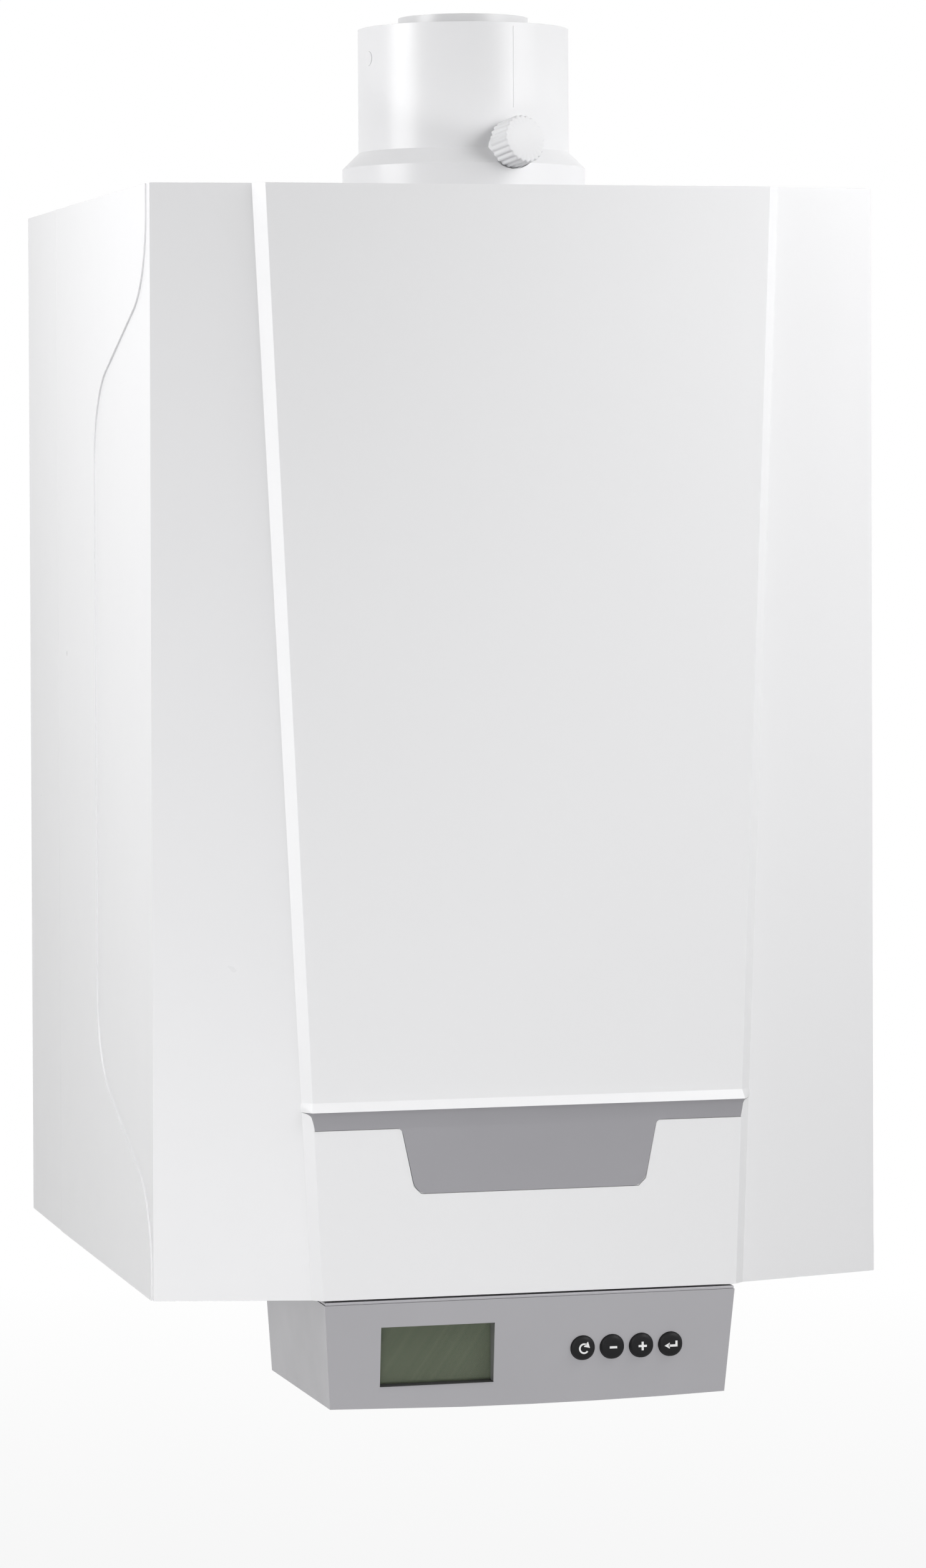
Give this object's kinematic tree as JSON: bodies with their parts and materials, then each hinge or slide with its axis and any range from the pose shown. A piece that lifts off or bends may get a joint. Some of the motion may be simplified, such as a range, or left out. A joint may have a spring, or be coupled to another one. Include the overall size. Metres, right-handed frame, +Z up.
{
  "type": "wall-hung gas boiler",
  "caption": "White wall-hung condensing boiler with a removable faceted cover, tilting grey control box with display and buttons, and a concentric flue socket.",
  "frame": {"origin": "on the wall plane, midway between the two wall bolts", "axes": "+X to the right as seen from the front, +Y into the wall, +Z up"},
  "size_m": [0.5, 0.4945, 0.929],
  "materials": {
    "white_paint": "gloss",
    "white_plastic": "gloss",
    "silver_plastic": "satin",
    "black_plastic": "satin",
    "steel": "satin",
    "aluminium": "cast",
    "copper": "satin",
    "brass": "satin",
    "rubber": "matt",
    "ceramic": "gloss",
    "glass": "clear",
    "screen": "satin",
    "board": "satin"
  },
  "bodies": {
    "boiler": {"chassis": "white_paint", "top_plate": "white_paint", "bottom_plate": "white_paint", "flue_air_socket": "white_plastic", "flue_socket": "white_plastic", "air_silencer": "black_plastic", "condensate_collector": "black_plastic", "siphon": "black_plastic", "fan_motor": "black_plastic", "cable_glands": "black_plastic", "loom_clips": "black_plastic", "wiring_loom": "black_plastic", "wall_bracket": "steel", "hanging_rail": "steel", "exchanger_rails": "steel", "inspection_bolts": "steel", "burner": "steel", "burner_bolts": "steel", "hinge_brackets": "steel", "hinge_pins": "steel", "gas_pipe": "steel", "heat_exchanger": "aluminium", "inspection_plate": "aluminium", "mixing_tube": "aluminium", "fan_housing": "aluminium", "venturi": "aluminium", "gas_valve": "aluminium", "flue_pipe": "aluminium", "flow_pipe": "copper", "return_pipe": "copper", "air_vent": "brass", "temperature_sensors": "brass", "pressure_sensor": "brass", "cover_seals": "rubber", "flue_seals": "rubber", "inspection_seal": "rubber", "burner_gasket": "rubber", "collector_seal": "rubber", "pipe_grommets": "rubber", "ignition_electrode": "ceramic"},
    "cover": {"front_cover": "white_paint", "cover_trim": "silver_plastic", "cover_screws": "steel"},
    "control_box": {"control_box_body": "silver_plastic", "control_box_lid": "silver_plastic", "display_window": "glass", "lcd_panel": "screen", "display_board": "board", "key_switches": "black_plastic", "main_board": "board"},
    "key_reset": {"button_reset": "black_plastic"},
    "key_minus": {"button_minus": "black_plastic"},
    "key_plus": {"button_plus": "black_plastic"},
    "key_enter": {"button_enter": "black_plastic"},
    "sampling_slider": {"sampling_plug": "rubber"},
    "sampling_knob": {"sampling_cap": "white_plastic"},
    "impeller": {"fan_impeller": "aluminium"}
  },
  "joints": [
    {"name": "cover_pull", "type": "slide", "parent": "boiler", "child": "cover", "axis": [0, -1, 0], "range_m": [0, 0.4]},
    {"name": "control_box_tilt", "type": "hinge", "parent": "boiler", "child": "control_box", "pos_m": [0, -0.294, -0.6912], "axis": [1, 0, 0], "range_deg": [0, 65]},
    {"name": "reset_press", "type": "slide", "parent": "control_box", "child": "key_reset", "axis": [0, 1, 0], "range_m": [0, 0.0012], "stiffness_N_per_m": 900, "springref_m": -0.0004},
    {"name": "minus_press", "type": "slide", "parent": "control_box", "child": "key_minus", "axis": [0, 1, 0], "range_m": [0, 0.0012], "stiffness_N_per_m": 900, "springref_m": -0.0004},
    {"name": "plus_press", "type": "slide", "parent": "control_box", "child": "key_plus", "axis": [0, 1, 0], "range_m": [0, 0.0012], "stiffness_N_per_m": 900, "springref_m": -0.0004},
    {"name": "enter_press", "type": "slide", "parent": "control_box", "child": "key_enter", "axis": [0, 1, 0], "range_m": [0, 0.0012], "stiffness_N_per_m": 900, "springref_m": -0.0004},
    {"name": "sampling_turn", "type": "hinge", "parent": "sampling_slider", "child": "sampling_knob", "pos_m": [0.01338, -0.40138, 0.0765], "axis": [0.3776, -0.9072, 0.1857], "range_deg": [0, 1445]},
    {"name": "sampling_out", "type": "slide", "parent": "boiler", "child": "sampling_slider", "axis": [0.3776, -0.9072, 0.1857], "range_m": [0, 0.01]},
    {"name": "fan_spin", "type": "hinge", "parent": "boiler", "child": "impeller", "pos_m": [-0.178, -0.1715, -0.041], "axis": [0, 0, 1], "continuous": true}
  ],
  "couplings": [
    {"joint": "sampling_turn", "follows": "sampling_out", "rad_per_m": 2513.3}
  ]
}
